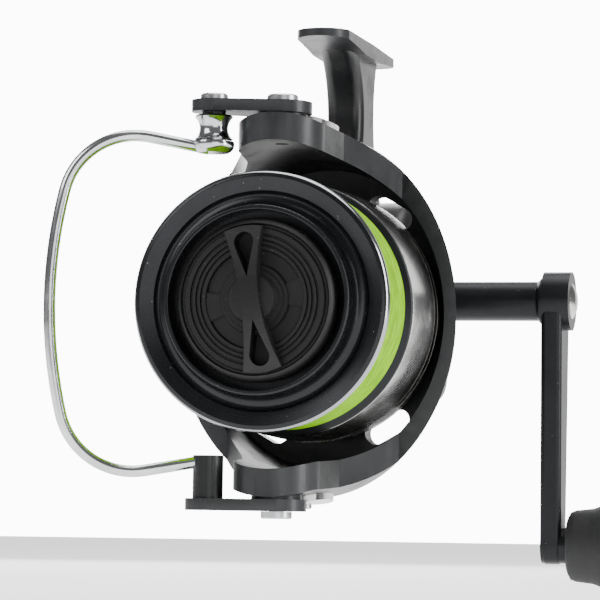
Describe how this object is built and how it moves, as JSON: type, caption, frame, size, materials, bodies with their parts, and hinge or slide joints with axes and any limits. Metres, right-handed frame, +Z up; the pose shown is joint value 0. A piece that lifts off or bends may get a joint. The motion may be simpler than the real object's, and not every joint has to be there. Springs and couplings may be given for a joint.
{
  "type": "spinning reel",
  "caption": "Fixed-spool fishing reel with a front drag knob, folding wire bail, oscillating spool, side crank handle and a rod foot.",
  "frame": {"origin": "middle of the foot's seat face, where the reel meets the rod", "axes": "+Z up from the seat into the rod, spool faces -Y, handle on +X"},
  "size_m": [0.1316, 0.1461, 0.1307],
  "materials": {
    "charcoal_body": "satin charcoal paint",
    "charcoal_rotor": "satin charcoal paint",
    "black_plastic": "moulded matte black",
    "polished_aluminium": "turned and polished",
    "charcoal_anodised": "satin anodised",
    "gunmetal_gloss": "glossy gunmetal",
    "yellow_line": "wound braid",
    "steel": "ground steel",
    "bright_wire": "polished",
    "brass_gear": "machined",
    "zinc_gear": "die-cast zinc alloy",
    "felt_washer": "greased friction cloth",
    "rubber_seal": "soft",
    "grip_rubber": "soft touch",
    "bearing_steel": "ground"
  },
  "bodies": {
    "frame": {"frame": "charcoal_body", "side_cover": "charcoal_body", "rear_guard": "black_plastic", "dust_cap": "gunmetal_gloss", "housing_screws": "steel", "clutch_housing": "steel", "clutch_rollers": "bearing_steel", "clutch_plate": "steel", "front_bearing": "bearing_steel", "rear_bearing": "bearing_steel", "drive_bearing_left": "bearing_steel", "drive_bearing_right": "bearing_steel", "guide_rod": "steel", "crank_axle": "steel"},
    "rotor": {"rotor": "charcoal_rotor", "pinion_gear": "brass_gear", "rotor_nut": "brass_gear", "nut_lock_plate": "steel", "rotor_screws": "steel", "arm_cover_top": "gunmetal_gloss", "arm_cover_bottom": "gunmetal_gloss", "bail_spring": "steel", "bail_pivot_screws": "steel", "clutch_sleeve": "steel"},
    "bail": {"roller_arm": "charcoal_rotor", "bail_wire": "bright_wire", "bail_holder": "charcoal_rotor", "roller_bolt": "steel"},
    "line_roller": {"line_roller": "bright_wire", "roller_bearing": "bearing_steel"},
    "handle": {"drive_gear": "zinc_gear", "drive_shaft": "steel", "crank_driver": "brass_gear", "handle_shank": "charcoal_anodised", "handle_arm": "charcoal_anodised", "arm_cap": "gunmetal_gloss", "knob_spindle": "steel"},
    "grip": {"grip": "grip_rubber", "grip_bearings": "bearing_steel", "grip_end_cap": "gunmetal_gloss"},
    "crank_gear": {"crank_gear": "zinc_gear"},
    "main_shaft": {"main_shaft": "steel", "slider_block": "zinc_gear", "slider_screw": "steel", "click_ratchet": "black_plastic", "drag_washers": "felt_washer", "drag_spring": "steel"},
    "spool": {"spool_lip": "charcoal_anodised", "spool_body": "charcoal_anodised", "spool_skirt": "gunmetal_gloss", "line_pack": "yellow_line", "spool_bearing": "bearing_steel", "line_clip": "bright_wire", "drag_plates": "steel", "drag_clip_ring": "steel", "click_pawl": "black_plastic"},
    "pressure_plate": {"pressure_plate": "steel", "drag_seal": "rubber_seal"},
    "drag_knob": {"drag_knob": "black_plastic", "drag_nut": "brass_gear"}
  },
  "joints": [
    {"name": "handle_crank", "type": "hinge", "parent": "frame", "child": "handle", "pos_m": [0, 0.01904, -0.0595], "axis": [1, 0, 0], "continuous": true},
    {"name": "rotor_spin", "type": "hinge", "parent": "frame", "child": "rotor", "pos_m": [0, 0, -0.066], "axis": [0, -1, 0], "continuous": true},
    {"name": "crank_turn", "type": "hinge", "parent": "frame", "child": "crank_gear", "pos_m": [0, 0.03593, -0.06565], "axis": [1, 0, 0], "continuous": true},
    {"name": "bail_flip", "type": "hinge", "parent": "rotor", "child": "bail", "pos_m": [0, -0.0634, -0.066], "axis": [0, 0, 1], "range_deg": [0, 115]},
    {"name": "line_roller_spin", "type": "hinge", "parent": "bail", "child": "line_roller", "pos_m": [-0.01409, -0.06853, -0.0275], "axis": [0, 0, 1], "continuous": true},
    {"name": "grip_spin", "type": "hinge", "parent": "handle", "child": "grip", "pos_m": [0.0673, 0.01904, -0.1175], "axis": [1, 0, 0], "continuous": true},
    {"name": "spool_stroke", "type": "slide", "parent": "frame", "child": "main_shaft", "axis": [0, -1, 0], "range_m": [-0.0095, 0.0095]},
    {"name": "spool_slip", "type": "hinge", "parent": "main_shaft", "child": "spool", "pos_m": [0, 0, -0.066], "axis": [0, -1, 0], "continuous": true},
    {"name": "drag_turn", "type": "hinge", "parent": "pressure_plate", "child": "drag_knob", "pos_m": [0, 0, -0.066], "axis": [0, -1, 0], "range_deg": [0, 1080]},
    {"name": "drag_travel", "type": "slide", "parent": "main_shaft", "child": "pressure_plate", "axis": [0, -1, 0], "range_m": [0, 0.00226]}
  ],
  "couplings": [
    {"joint": "rotor_spin", "follows": "handle_crank", "ratio": 4.625},
    {"joint": "crank_turn", "follows": "handle_crank", "ratio": -0.44737},
    {"joint": "drag_travel", "follows": "drag_turn", "m_per_rad": 0.00011937}
  ]
}
